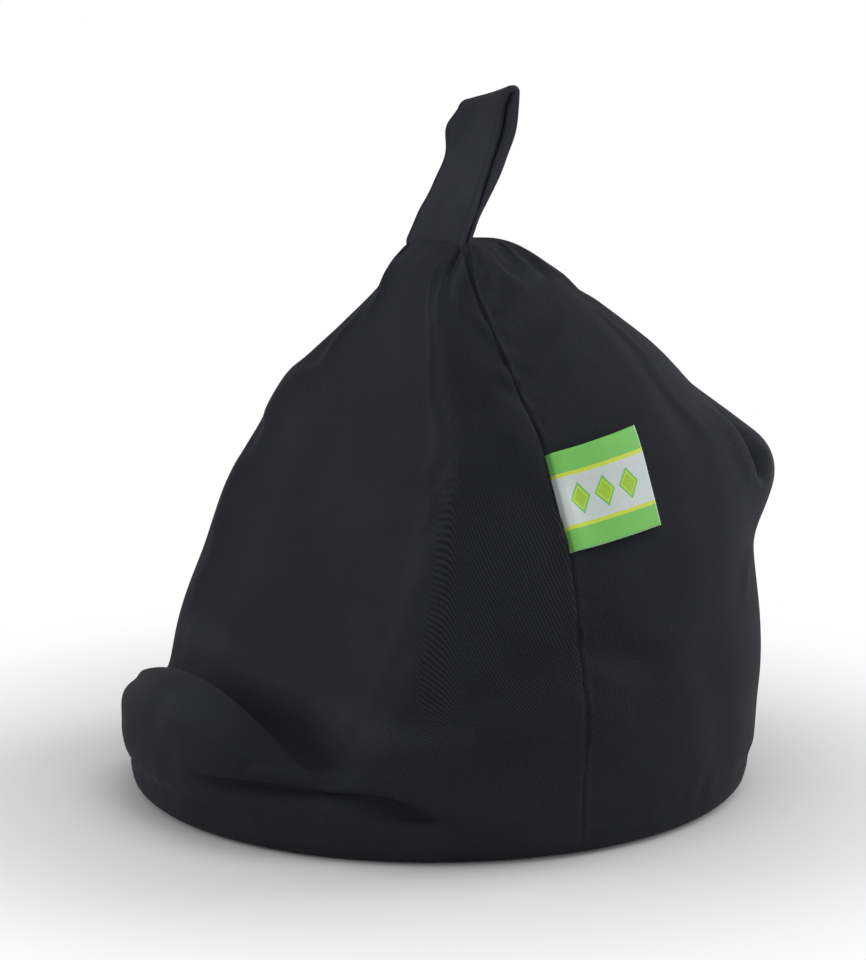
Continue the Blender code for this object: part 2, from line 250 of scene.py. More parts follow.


# Cotton drill, woven 2/1, piece dyed and singed: matt, with fine diagonal lines, a faint bloom
# where the cloth turns away, edges rubbed a little paler, painted light (a paler colour) on the
# places that face the light, and a few specks of lint
def cottonDrill(name, look):
    material, tree, shader = newMaterial(name)
    cloth = clothInMm(tree, look["angle"])
    lines = bands(cloth, "X", look["pitch"], 0.5, 1.0, 0.5)
    yarns = bands(cloth, "Y", look["yarn"], 1.2, 1.0, 0.7)
    along = addNode(tree, "Mapping", inputs={"Vector": cloth, "Scale": look["slubScale"]})
    slubs = noise(along.outputs[0], 1.0)
    grain = noise(cloth, 1.1)
    patches = noise(objectPlace(tree), 1000 / look["blotch"], 3.0)
    specks = addNode(tree, "TexVoronoi", inputs={"Vector": cloth,
                                                 "Scale": 1 / look["lintSpacing"]})
    chance = addNode(tree, "SeparateColor", inputs={"Color": specks.outputs["Color"]})
    wornAndPaintedLight = addNode(tree, "Attribute", {"attribute_name": "wearAndPaintedLight"}).outputs["Fac"]
    plain = addNode(tree, "Attribute", {"attribute_name": "twill"}).outputs["Fac"]

    rib = scaled(math2("SUBTRACT", lines, 0.5), plain, 0.5)
    rib = times(rib, look["lineShare"])
    rib = scaled(yarns, look["yarnShare"], rib)
    rib = scaled(slubs, look["slubShare"], rib)
    colour = mixColour(tree, rib, look["groove"], look["rib"])
    # paler where worn and where light is painted: one attribute marks both
    colour = mixColour(tree, wornAndPaintedLight, colour, look["paleWornAndLit"])
    shade = times(scaled(patches, 0.5, 0.75), scaled(grain, 0.8, 0.60))
    colour = toned(colour, shade)
    small = below(specks.outputs["Distance"], look["lintSize"] / 2 / look["lintSpacing"])
    speck = times(small, math2("GREATER_THAN", chance.outputs[0], look["lintAbove"]))
    colour = mixColour(tree, speck, colour, look["lint"])
    finishShader(shader, colour, look["roughness"], look["specular"],
                 relief=(scaled(rib, 0.3, grain), 0.35, 0.15 * mm))
    plugIn(shader, {"Sheen Weight": look["sheen"], "Sheen Roughness": look["sheenRoughness"]})
    return material


bagDrill = cottonDrill("cottonDrillBlack", drill)
# The strap's drill is a lighter copy of the bag's: painted light, for the strap lit more brightly
strapDrillPaintedLighter = cottonDrill("cottonDrillBlackStrapPaintedLighter", {
    **drill, "rib": "#323339", "groove": "#27282d", "paleWornAndLit": "#44464d", "blotch": 22.0,
    "angle": 75.0})


# Spun polyester sewing thread, twisted: black, a touch shinier than the drill
def sewingThread():
    material, tree, shader = newMaterial("polyesterThreadBlack")
    twist = noise(objectPlace(tree), 2600.0, 1.0)
    finishShader(shader, mixColour(tree, twist, "#1c1d21", "#3c3d43"), 0.6, 0.2)
    return material


ribbonLook = {
    "field": "#78c45f", "stripe": "#ccdd4a", "ground": "#ccd6d4", "figure": "#a3c93b",
    "middle": 19.15,        # mm, from the lower edge to the middle of the band
    "bandHalf": 9.4, "stripeWide": 1.5, "figureHalf": 6.4, "figureWide": 4.6,
    "figurePitch": 11.0, "figureRim": 0.78, "figureFill": 0.66,  # mm, then shares of a figure
    "start": 5.0, "end": 38.0,  # mm from the seam, between which the figures stand
    # the paler line along the fold is a painted highlight; the lower edge is paler too
    "fold": 42.9, "edge": 0.4, "paleEdgeAndFoldHighlight": 0.4,     # mm, the fold and the lower edge are paler
    "shaded": 2.4, "shadedDark": 0.55,              # mm beside the seam where it curls under
    "pick": 0.45,           # mm between the crosswise yarns
}


# Damask-woven polyester label, heat cut: smooth and slightly glossy, with a fine even grain,
# and a plain pattern of a band between two stripes with three lozenges on it
def wovenRibbon(look):
    material, tree, shader = newMaterial("wovenLabelGreen")
    cloth = clothInMm(tree)
    across, along = addNode(tree, "SeparateXYZ", inputs={"Vector": cloth}).outputs[:2]
    off = apart(along, look["middle"])
    inside = times(math2("GREATER_THAN", across, look["start"]), below(across, look["end"]))
    cell = math2("MODULO", math2("SUBTRACT", across, look["start"]), look["figurePitch"])
    reach = apart(cell, look["figurePitch"] / 2)
    size = math2("ADD", math2("DIVIDE", reach, look["figureWide"]),
                 math2("DIVIDE", off, look["figureHalf"]))
    colour = look["field"]
    layers = [(below(off, look["bandHalf"] + look["stripeWide"]), "stripe"),
              (below(off, look["bandHalf"]), "ground")]
    for limit, name in ((1.0, "field"), (look["figureRim"], "stripe"),
                        (look["figureFill"], "figure")):
        layers.append((times(inside, below(size, limit)), name))
    for mask, name in layers:
        colour = mixColour(tree, mask, colour, look[name])
    # painted highlight along the fold, and a paler lower edge
    edge = below(apart(across, look["fold"]), look["edge"])
    edge = math2("MAXIMUM", edge, below(along, look["edge"] / 2))
    colour = mixColour(tree, times(edge, look["paleEdgeAndFoldHighlight"]), colour, look["ground"])
    curl = addNode(tree, "MapRange", {"interpolation_type": "SMOOTHSTEP"},
                   {"Value": across, "From Min": look["shaded"] - 1.0,
                    "From Max": look["shaded"] + 0.4, "To Min": look["shadedDark"],
                    "To Max": 1.0})
    picks = bands(cloth, "Y", look["pick"], 0.4)
    fibres = noise(cloth, 1.4, 3.0)
    grain = scaled(fibres, 0.22, times(picks, 0.10))
    shade = times(math2("ADD", grain, 0.84), curl.outputs[0])
    finishShader(shader, toned(colour, shade), 0.55, 0.3, relief=(grain, 0.3, 0.08 * mm))
    return material


thread = sewingThread()
ribbon = wovenRibbon(ribbonLook)
print("materials made")


# The stuffed bag

bag = {
    **inMetres(radius=121.0, height=214.4, baseEdge=8.0, topSeamY=-0.5, topSeamLength=50.0,
               topSeamThick=5.6, valleyY=-81.5, valleyHeight=29.0, valleyWidth=8.5,
               lipHeight=54.0, slopeBlend=14.0, baseSeam=6.5, columnFine=0.45, columnCoarse=2.4,
               columnDetail=1.3, detailFrom=95.0, detailTo=142.0, seamRoll=1.9, seamDepth=1.7,
               baseRoll=1.8, baseDepth=1.4, pucker=0.55, puckerReach=9.0,  # beside the seams
               gather=0.5, gatherHeight=14.0, gatherReach=7.0,  # above the base seam
               swell=2.2),  # the most that a point moves in the cloth run
    "topTilt": 0.136, "tiltStart": 0.70, "slopeAngle": math.radians(21.9),
    "lipFullness": 0.75, "lipShoulder": 0.15, "lipSquareness": 0.72,
    "columnGrowth": 0.12, "rows": 196, "wallPoints": 24, "lipPoints": 26, "upperPoints": 160,
    "linePoints": 260, "lineSmoothing": 12, "coverSmoothing": 10, "firstFoldRow": 10,
    "runEvery": 3, "heldBelow": 5, "heldAbove": 2, "frames": 20, "swellBlur": 110, "seed": 11,
    "cloth": {"vertex_group_mass": "held", "use_pressure": True, "uniform_pressure_force": 4.0,
              "shrink_min": -0.015, "quality": 6, "tension_stiffness": 20.0,
              "compression_stiffness": 12.0, "bending_stiffness": 0.6},
    "frontGrain": math.radians(-45.0), "backGrain": math.radians(8.0),  # the twill on each panel
}
sideOutline = [(0.0, 0.984), (0.140, 0.989), (0.233, 1.016), (0.368, 0.969), (0.471, 0.927),
               (0.616, 0.792), (0.709, 0.697), (0.779, 0.552), (0.844, 0.416), (0.928, 0.263)]
backOutline = [(0.0, 1.0), (0.140, 1.033), (0.303, 1.044), (0.429, 1.033), (0.504, 1.053),
               (0.578, 1.060), (0.639, 0.998), (0.709, 0.862), (0.779, 0.744), (0.849, 0.588),
               (0.9235, 0.412), (0.9585, 0.317), (0.984, 0.216), (0.9963, 0.107)]
frontOutline = [(0.0, 1.0), (0.056, 1.014), (0.121, 1.058), (0.168, 1.034), (0.280, 1.0),
                (0.466, 0.930), (0.653, 0.790), (0.816, 0.527), (0.928, 0.280)]

# Folds as (depth mm, width mm, points of bearing from the front in degrees and share of the
# height); a positive depth is a crease and a negative one is a swelling.
bagFolds = [
    (1.0, 6.5, [(-62, 0.060), (-27, 0.085), (2, 0.110)]),
    (1.2, 7.0, [(9, 0.116), (24, 0.120), (44, 0.124), (57, 0.112), (68, 0.080)]),
    (-1.4, 5.0, [(14, 0.150), (31, 0.152), (44, 0.154), (54, 0.145)]),
    (1.3, 2.6, [(30, 0.164), (34, 0.168), (38, 0.165)]),
    (2.0, 9.0, [(-38, 0.200), (-16, 0.208), (2, 0.214)]),
    (1.6, 6.0, [(-44, 0.128), (-16, 0.128)]),
    (1.7, 18.0, [(121, 0.980), (138, 0.970), (146, 0.955)]),
    (3.2, 7.0, [(88, 0.388), (82, 0.368), (74, 0.339), (69, 0.312)]),
    (3.5, 8.0, [(87, 0.215), (79, 0.230), (70, 0.230), (60, 0.236)]),
    (-2.0, 9.0, [(89, 0.544), (82, 0.526), (75, 0.481), (69, 0.434), (63, 0.383), (60, 0.347)]),
    (-0.8, 4.0, [(93, 0.312), (97, 0.298)]),
    (-0.8, 4.0, [(93, 0.268), (97, 0.255)]),
    (1.4, 7.0, [(94, 0.378), (103, 0.327)]),
    (1.6, 7.0, [(-86, 0.392), (-77, 0.345), (-69, 0.280)]),
    (1.6, 7.0, [(-95, 0.270), (-106, 0.233), (-118, 0.210)]),
    (0.8, 9.5, [(146, 0.468), (160, 0.448)]),
    (-0.7, 4.5, [(144, 0.435), (140, 0.426), (137, 0.398)]),
    (3.0, 11.0, [(-124, 0.457), (-140, 0.443), (-156, 0.438)]),
    (0.9, 9.0, [(141, 0.830), (134, 0.750), (130, 0.680), (122, 0.560)]),
    (-0.8, 5.0, [(142, 0.831), (139, 0.781), (136, 0.756), (135, 0.725), (135, 0.691)]),
    (-0.7, 4.5, [(148, 0.672), (144, 0.645), (141, 0.610), (141, 0.580)]),
    (2.0, 10.0, [(178, 0.877), (174, 0.746), (176, 0.644)]),
    (2.0, 9.5, [(-138, 0.830), (-130, 0.737), (-122, 0.597)]),
    (1.4, 12.0, [(118, 0.280), (124, 0.140)]),
]
bagEars = [(-7.5, 17.0, [(151, 0.580), (158, 0.558)]),
           (-4.5, 18.0, [(-146, 0.569), (-156, 0.546)])]

# Sharp ridges that run down from the feet of the strap
rightFoot = [(72, 0.999), (65, 0.978), (63, 0.959), (60, 0.943), (57, 0.925)]
leftFoot = [(-56, 0.999), (-52, 0.981), (-46, 0.959), (-40, 0.935), (-33, 0.900)]
bagPleats = [(-1.4, 12.0, rightFoot), (-1.4, 14.0, leftFoot)]

# A pocket behind the edge of a flap: depth, its width on the flap's side and on the far side,
# the shares of its length over which it deepens and ends
bagFlaps = [
    (9.0, 1.5, 6.4, 0.7, 0.22, [(155, 0.700), (153, 0.673), (150, 0.658), (147, 0.631),
                                (145, 0.599), (145, 0.574), (148, 0.550)]),
    (1.7, 14.0, 2.0, 0.35, 0.6, rightFoot), (1.5, 2.0, 14.0, 0.35, 0.6, leftFoot[:4]),
    (5.6, 4.6, 2.2, 0.22, 0.25, [(13, 0.124), (22, 0.123), (31, 0.127), (44, 0.129),
                                 (54, 0.120), (63, 0.087), (68, 0.070)]),
]

# How far the right side seam strays towards the back, mm, up its height
seamWander = [(0.0, 0.0), (0.12, 0.3), (0.17, 0.9), (0.24, 0.2), (0.31, -0.5), (0.38, 0.4),
              (0.48, -0.2), (0.60, 0.3), (0.72, 0.0), (0.83, -1.3), (0.92, -1.4), (1.0, -2.3)]


def outline(shares, topReach):
    table = [(share * bag["height"], reach * bag["radius"]) for share, reach in shares]
    return table + [(bag["height"], topReach)]


sideReach = outline(sideOutline, bag["topSeamLength"] / 2)
backReach = outline(backOutline, bag["topSeamThick"] / 2)
frontReach = outline(frontOutline, bag["topSeamThick"] / 2)


def wall(bearing, height):  # plain wall, an ellipse at each height that squares off at the top
    reach = curveThrough(frontReach if math.cos(bearing) > 0 else backReach, height)
    x = curveThrough(sideReach, height) * math.sin(bearing)
    y = -reach * math.cos(bearing)
    drawn = ease(bag["tiltStart"] * bag["height"], bag["height"], height)
    return x, y + bag["topSeamY"] * drawn


def meridian(bearing, places):  # one line up the cover, from the base edge to the top seam
    height, valley = bag["height"], bag["valleyHeight"]
    turns = np.radians(np.linspace(-90, -8, 9))
    x, y = wall(bearing, bag["baseEdge"])
    inward = 1 - bag["baseEdge"] * (1 - np.cos(turns)) / math.hypot(x, y)
    edge = np.stack([x * inward, y * inward, bag["baseEdge"] * (1 + np.sin(turns))], axis=1)
    start = bag["baseEdge"]
    inFront = math.cos(bearing) > 1e-9
    parts = []
    first = start
    if inFront:
        x, y = wall(bearing, valley)
        footY = min(bag["valleyY"], max(bag["valleyY"] - bag["valleyWidth"], y))
        deep = curveThrough(frontReach, valley) + bag["valleyY"] - bag["valleyWidth"]
        share = np.clip((footY - y) / deep, 0.0, 1.0)
        crest = valley + (bag["lipHeight"] - valley) * share ** (1 / bag["lipFullness"])
        shoulder = valley + bag["lipShoulder"] * (crest - valley)
        up = np.linspace(start, shoulder, bag["wallPoints"])
        x, y = wall(bearing, up)
        parts.append(np.stack([x, y, up], axis=1))
        middle, half = (y[-1] + footY) / 2, (footY - y[-1]) / 2
        if half > 0:
            turn = np.linspace(0, math.pi, bag["lipPoints"])[1:]
            low = np.where(turn < math.pi / 2, shoulder, valley)
            power = np.where(turn < math.pi / 2, bag["lipSquareness"], 1.0)
            inward = np.sign(np.cos(turn)) * np.abs(np.cos(turn)) ** power
            parts.append(np.stack([np.full(len(turn), x[-1]), middle - half * inward,
                                   low + (crest - low) * np.abs(np.sin(turn)) ** power], axis=1))
        first = valley if half > 0 else shoulder
    up = 1 - (1 - np.linspace(0, 1, bag["upperPoints"])) ** 1.6
    up = first + (height - first) * up
    up = up[1:] if inFront else up
    x, y = wall(bearing, up)
    if inFront:
        slope = bag["valleyY"] + (up - valley) * math.tan(bag["slopeAngle"])
        limit = bag["topSeamY"] - bag["topSeamThick"] / 2 * math.cos(bearing)
        y = np.minimum(smoothMax(y, slope, bag["slopeBlend"]), limit)
    parts.append(np.stack([x * np.ones(len(up)), y, up], axis=1))
    dense = resample(np.concatenate(parts), np.linspace(0, 1, bag["linePoints"]))
    for _ in range(bag["lineSmoothing"]):
        dense[1:-1] = (dense[:-2] + 2 * dense[1:-1] + dense[2:]) / 4
    return np.concatenate((edge[:-1], resample(dense, places)))


def columnBearings():  # close together beside the side seams and at the ears
    reach, step = [0.0], bag["columnFine"]
    while reach[-1] < math.pi / 2 * bag["radius"]:
        reach.append(reach[-1] + step)
        step = min(bag["columnCoarse"], bag["columnFine"] + bag["columnGrowth"] * reach[-1])
        if bag["detailFrom"] < reach[-1] < bag["detailTo"]:
            step = bag["columnDetail"]
    quarter = math.pi / 2 * (1 - np.array(reach) / reach[-1])[::-1]
    right = np.concatenate((quarter, (math.pi - quarter)[-2::-1]))
    return np.concatenate((right, -right[-2:0:-1]))


def fromChain(chain, bearing, share):
    # mm from a line on the cover, the side of it, and the place along it from 0 to 1
    best = np.full(np.broadcast(bearing, share).shape, 1e9)
    side, along = np.zeros(best.shape), np.zeros(best.shape)
    for k, ((degA, highA), (degB, highB)) in enumerate(zip(chain[:-1], chain[1:])):
        across = np.radians((np.degrees(bearing) - degA + 180) % 360 - 180) * bag["radius"]
        up = (share - highA) * bag["height"]
        run = math.radians(degB - degA) * bag["radius"]
        rise = (highB - highA) * bag["height"]
        t = np.clip((across * run + up * rise) / (run * run + rise * rise), 0, 1)
        away = np.hypot(across - run * t, up - rise * t)
        side = np.where(away < best, np.sign(run * up - rise * across), side)
        along = np.where(away < best, (k + t) / (len(chain) - 1), along)
        best = np.minimum(best, away)
    return best / mm, side, along


def foldDepth(folds, bearing, share, power=2):  # soft folds, or sharp ones with a power of 1
    return sum(depth * mm * np.exp(-(fromChain(chain, bearing, share)[0] / width) ** power)
               for depth, width, chain in folds)


def flapDepth(flaps, bearing, share):
    total = 0.0
    for depth, steep, wide, deepens, ends, chain in flaps:
        away, side, along = fromChain(chain, bearing, share)
        taper = ease(0.0, deepens, along) * ease(0.0, ends, 1 - along)
        total = total + depth * mm * taper * np.exp(
            -(away / np.where(side > 0, wide, steep)) ** 2)
    return total


def behindLip(around, grid):  # 1 in the valley and on the lip's inner face, 0 elsewhere
    away = []
    for bearing, line in zip(around, grid):
        x, y = wall(bearing, line[:, 2])
        away.append(np.hypot(line[:, 0] - x, line[:, 1] - y))
    low = (grid[:, :, 2] < 0.3 * bag["height"]) & (np.abs(around) < 0.9)[:, None]
    return ease(4 * mm, 9 * mm, np.array(away)) * low


def gridNormals(grid):
    across = np.roll(grid, -1, axis=0) - np.roll(grid, 1, axis=0)
    return unit(np.cross(across, np.gradient(grid, axis=1)))


def gridFaces(columns, rows):
    i, j = np.meshgrid(np.arange(columns), np.arange(rows - 1), indexing="ij")
    here, beside = i * rows + j, (i + 1) % columns * rows + j
    return quadList(here, beside, beside + 1, here + 1)


def blurred(field):  # mean of three, round the grid and then up it
    field = (field + np.roll(field, 1, axis=0) + np.roll(field, -1, axis=0)) / 3
    field[:, 1:-1] = (field[:, :-2] + field[:, 1:-1] + field[:, 2:]) / 3
    return field


def runCloth(coarse, fixed):  # the filling pushes the panels out between the held seams
    n, m = coarse.shape[:2]
    faces = gridFaces(n, m)
    faces.append(tuple(i * m for i in reversed(range(n))))
    faces.append(tuple(i * m + m - 1 for i in range(n)))
    work = addPiece("clothRun", coarse.reshape(-1, 3), faces, bagDrill)
    group = work.vertex_groups.new(name="held")
    group.add([int(k) for k in np.nonzero(fixed.ravel())[0]], 1.0, "REPLACE")
    cloth = work.modifiers.new("cloth", "CLOTH")
    setAll(cloth.settings, bag["cloth"])
    cloth.settings.effector_weights.gravity = 0.0
    setAll(cloth.point_cache, {"frame_start": 1, "frame_end": bag["frames"]})
    for step in range(bag["frames"]):
        bpy.context.scene.frame_set(step + 1)
    shape = work.evaluated_get(bpy.context.evaluated_depsgraph_get())
    moved = np.empty(len(coarse.reshape(-1)))
    shape.to_mesh().vertices.foreach_get("co", moved)
    shape.to_mesh_clear()
    bpy.context.scene.frame_set(1)
    bpy.data.objects.remove(work, do_unlink=True)
    return moved.reshape(n, m, 3) - coarse


def swollen(grid, held):  # how far each point of the grid moves in a cloth run on a coarser one
    columns, rows = grid.shape[:2]
    pickI = np.arange(0, columns, bag["runEvery"])
    pickI = np.unique(np.append(pickI, np.nonzero(held)[0]))
    pickJ = np.unique(np.append(np.arange(0, rows, bag["runEvery"]), rows - 1))
    fixed = np.zeros((len(pickI), len(pickJ)), bool)
    fixed[:, :bag["heldBelow"]] = True
    fixed[:, -bag["heldAbove"]:] = True
    fixed[np.isin(pickI, np.nonzero(held)[0])] = True
    moved = runCloth(grid[np.ix_(pickI, pickJ)], fixed)
    far = np.linalg.norm(moved, axis=2, keepdims=True)
    moved *= np.minimum(1.0, bag["swell"] / np.maximum(far, 1e-9))
    byRow = np.stack([[np.interp(np.arange(rows), pickJ, line[:, k]) for line in moved]
                      for k in range(3)], axis=-1)
    ring = np.append(pickI, columns)
    byRow = np.concatenate((byRow, byRow[:1]))
    full = np.stack([[np.interp(np.arange(columns), ring, byRow[:, j, k]) for j in range(rows)]
                     for k in range(3)], axis=-1).transpose(1, 0, 2)
    for _ in range(2):
        full = blurred(full)
    # the outline is already the filled one, so only what varies within a few cm is kept
    normals = gridNormals(grid)
    broad = np.sum(full * normals, axis=2)
    for _ in range(bag["swellBlur"]):
        broad = blurred(broad)
    share = grid[:, :, 2] / bag["height"]
    broad *= ease(0.03, 0.08, share) * (1 - ease(0.93, 0.985, share))
    broad *= 1 - 0.7 * ease(0.0, 60 * mm, grid[:, :, 1])
    return full - normals * broad[:, :, None]


def seamCrease(distance, roll, depth):  # both panels roll into the seam
    t = np.clip(1 - distance / roll, 0, 1)
    return depth * (1 - np.sqrt(np.maximum(1 - t * t, 0)))


def waves(rng, count, low, high):  # an irregular ripple: a list of (wave number, phase, size)
    return [(2 * math.pi / rng.uniform(low, high), rng.uniform(0, 2 * math.pi),
             rng.uniform(0.5, 1)) for _ in range(count)]


def ripple(parts, value):
    return sum(size * np.sin(number * value + phase) for number, phase, size in parts) / len(parts)


def foldCover(grid, around, share, onSeam):  # the ears, the cloth run, the folds
    bearing = around[:, None]
    body = np.arange(grid.shape[1]) >= bag["firstFoldRow"]
    normals = gridNormals(grid)
    shown = 1 - behindLip(around, grid)
    grid -= normals * (foldDepth(bagEars, bearing, share) * body)[:, :, None]
    grid += swollen(grid, onSeam)
    normals = gridNormals(grid)
    depth = foldDepth(bagFolds, bearing, share) + flapDepth(bagFlaps, bearing, share)
    depth = depth * shown + foldDepth(bagPleats, bearing, share, power=1)
    depth *= 1 - ease(0.985, 1.0, share)
    grid -= normals * (depth * body)[:, :, None]


def seamDepth(grid, bearing, share, onSeam):  # and how far each point lies from a side seam
    rng = np.random.default_rng(bag["seed"])
    ahead = np.linalg.norm(np.roll(grid, -1, axis=0) - grid, axis=2)
    travel = np.cumsum(ahead, axis=0) - ahead
    right, left = np.nonzero(onSeam)[0]
    toBack = np.where(bearing >= 0, travel - travel[right], travel[left] - travel)
    wander = np.interp(share, [row[0] for row in seamWander], [row[1] * mm for row in seamWander])
    toBack -= wander * np.where(bearing >= 0, 1.0, 0.4)
    fromSide = np.abs(toBack)
    high = grid[:, :, 2]
    depth = seamCrease(fromSide, bag["seamRoll"], bag["seamDepth"]) * ease(0.006, 0.012, high)
    depth *= 1 - ease(0.975, 0.997, share)
    depth += seamCrease(np.abs(high - bag["baseSeam"]), bag["baseRoll"], bag["baseDepth"])
    for side in (1, -1):
        for panel in (1, -1):
            here = (np.sign(bearing) == side) & (np.sign(toBack) == panel)
            pucker = ripple(waves(rng, 4, 8 * mm, 17 * mm), high + 0.35 * panel * fromSide)
            fade = np.exp(-(fromSide / bag["puckerReach"]) ** 2)
            fade = fade * ease(0, 3 * mm, fromSide) * (1 - ease(0.80, 0.95, share))
            depth += here * pucker * fade * bag["pucker"]
    gather = ripple(waves(rng, 4, 9 * mm, 20 * mm), bearing * bag["radius"]) * bag["gather"]
    gather = gather * np.exp(-((high - bag["gatherHeight"]) / bag["gatherReach"]) ** 2)
    return depth + gather * (high > 8 * mm), fromSide


# How the upper edges turn down round the strap: shares of the width and thickness, drop in mm
topRings = [(0.996, 0.97, -0.3), (0.99, 0.90, -0.2), (0.985, 0.82, 0.6), (0.985, 0.78, 3.0),
            (0.985, 0.0, 5.0)]
baseRings = [0.12, 0.28, 0.45, 0.6, 0.75, 0.88, 0.96]  # shares of the radius


def closedEnds(grid):
    tops, bottoms = [], []
    for wide, thick, drop in topRings:
        ring = grid[:, -1].copy()
        ring[:, 0] *= wide
        ring[:, 1] = bag["topSeamY"] + (ring[:, 1] - bag["topSeamY"]) * thick
        ring[:, 2] -= drop * mm
        tops.append(ring[:, None])
    for scale in baseRings:
        ring = grid[:, 0].copy()
        ring[:, :2] *= scale
        bottoms.append(ring[:, None])
    return np.concatenate(bottoms + [grid] + tops, axis=1)


def flatPattern(grid, around):  # the two panels laid flat, in metres, for the weave
    columns, rows = grid.shape[:2]
    up = travelled(grid, axis=1)
    travel = travelled(np.concatenate((grid, grid[:1])))
    back = int(np.argmin(np.abs(np.abs(around) - math.pi)))
    isBack = (np.cos(around) + np.cos(np.roll(around, -1)) < 0)[:, None]
    turn = np.where(isBack, bag["backGrain"], bag["frontGrain"])
    edges = np.arange(columns)
    uv = np.empty((columns, rows - 1, 4, 2), dtype=np.float32)
    for corner, (di, dj) in enumerate(((0, 0), (1, 0), (1, 1), (0, 1))):
        here = travel[:, dj:rows - 1 + dj]
        t = here[edges + di]
        fromFront = np.where(edges[:, None] < back, t, t - here[-1])
        weft = np.where(isBack, t - here[back], fromFront)
        warp = up[(edges + di) % columns][:, dj:rows - 1 + dj]
        uv[:, :, corner, 0] = weft * np.cos(turn) - warp * np.sin(turn)
        uv[:, :, corner, 1] = weft * np.sin(turn) + warp * np.cos(turn)
    return uv.reshape(-1, 2)


# Wear and painted light: paler on the seam edges (wear), on the crest of the lip and the ears
# (partly wear, partly painted light where light falls on them) and on the facet beside the strap's
# foot (painted light). The twill's lines show best on the side of the front panel.
def addWearAndPaintedLight(cover, bearing, share, fromSide, columns, rows):
    seamEdge = np.exp(-((fromSide - 2.0 * mm) / (0.9 * mm)) ** 2) * 0.15
    # the lip's crest and the ears are painted paler, partly as wear and partly as painted light
    lip = np.exp(-((share - 0.235) / 0.03) ** 2) * (np.abs(bearing) < 1.2) * 0.4
    ear = np.clip(-foldDepth(bagEars, bearing, share) / (6 * mm), 0, 1) * 0.8
    # painted light: the facet beside the strap's foot is painted paler, as if lit
    besideStrap = fromChain([(78, 0.985), (73, 0.955), (70, 0.930)], bearing, share)[0]
    paintedLitFacet = np.exp(-(besideStrap / 7) ** 2) * 0.9
    degrees = np.degrees(np.abs(bearing))
    shown = ease(48, 66, degrees) * ease(0, 12, 106 - degrees)
    shown = shown * ease(0.12, 0.22, share) * ease(0, 0.15, 0.70 - share)
    for name, values, rest in (("wearAndPaintedLight", np.clip(seamEdge + lip + ear + paintedLitFacet, 0, 1), 0.0),
                               ("twill", 0.15 + 0.85 * shown, 0.15)):
        whole = np.full((columns, rows), rest)
        whole[:, len(baseRings):rows - len(topRings)] = values
        addFloats(cover, name, np.append(whole.ravel(), rest))


def makeBag():
    around = columnBearings()
    bearing = around[:, None]
    places = np.linspace(0, 1, bag["rows"])
    grid = np.array([meridian(turn, places) for turn in around])
    for _ in range(bag["coverSmoothing"]):
        beside = (np.roll(grid, -1, axis=0) + np.roll(grid, 1, axis=0)) / 2
        grid[:, 12:-1] = (grid[:, 12:-1] + beside[:, 12:-1]) / 2
    onSeam = np.abs(np.abs(around) - math.pi / 2) < 1e-6
    share = grid[:, :, 2] / bag["height"]
    foldCover(grid, around, share, onSeam)
    normals = gridNormals(grid)
    depth, fromSide = seamDepth(grid, bearing, share, onSeam)
    grid -= normals * depth[:, :, None]
    grid[..., 2] += bag["topTilt"] * grid[..., 0] * ease(
        bag["tiltStart"] * bag["height"], bag["height"], grid[..., 2])
    grid = closedEnds(grid)

    columns, rows = grid.shape[:2]
    vertices = np.concatenate((grid.reshape(-1, 3), [[0.0, 0.0, 0.0]]))
    pole = columns * rows  # the middle of the base
    faces = gridFaces(columns, rows)
    faces += [((i + 1) % columns * rows, i * rows, pole) for i in range(columns)]
    fan = np.array([[0.25, 0.0], [0.25, 0.001], [0.251, 0.0]] * columns, dtype=np.float32)
    uvs = np.concatenate((flatPattern(grid, around), fan))
    cover = addPiece("stuffedBagCover", vertices, faces, bagDrill, uvs)
    addWearAndPaintedLight(cover, bearing, share, fromSide, columns, rows)

    mesh = bmesh.new()
    mesh.from_mesh(cover.data)
    slit = [v for v in mesh.verts if v.index % rows == rows - 1 and v.index < pole]
    bmesh.ops.remove_doubles(mesh, verts=slit, dist=0.02 * mm)
    mesh.to_mesh(cover.data)
    mesh.free()
    return cover


cover = makeBag()
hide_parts("stuffed_bag")
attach(cover, "root")
print("bag made:", len(cover.data.polygons), "faces")


# The carry strap: one band of doubled drill, folded in half and sewn into the top seam

strap = {
    **inMetres(width=49.0, rise=52.7, lean=23.5, footOuter=2.3, topOuter=2.8,  # a ply's outside
               footGap=0.15, topGap=0.25,    # between the two plies
               gap=0.3, sunk=4.0, cornerPull=4.0, cornerRun=5.0,  # of the fold's left corner
               askew=4.2,                    # how far the upper half of a ply is drawn in
               curl=3.2, curlAt=10.5, curlRun=7.5,  # of the front ply's left edge
               spread=2.8,                   # how far the rear ply sticks out
               edgeRoll=2.4, stitchInset=3.0, stitchPull=0.22, sway=0.5, puff=0.22),
    "puffWaves": 190, "topTilt": math.radians(15.0), "twist": math.radians(-2.0),
    "steps": 70, "foldSteps": 18, "seed": 5,
}
# Where the section has points near an edge, mm from it: close together at the stitches
edgePoints = [0, 0.08, 0.25, 0.5, 0.8, 1.2, 1.7, 2.2, 2.5, 2.8, 3.0, 3.2, 3.5, 3.9, 4.6]


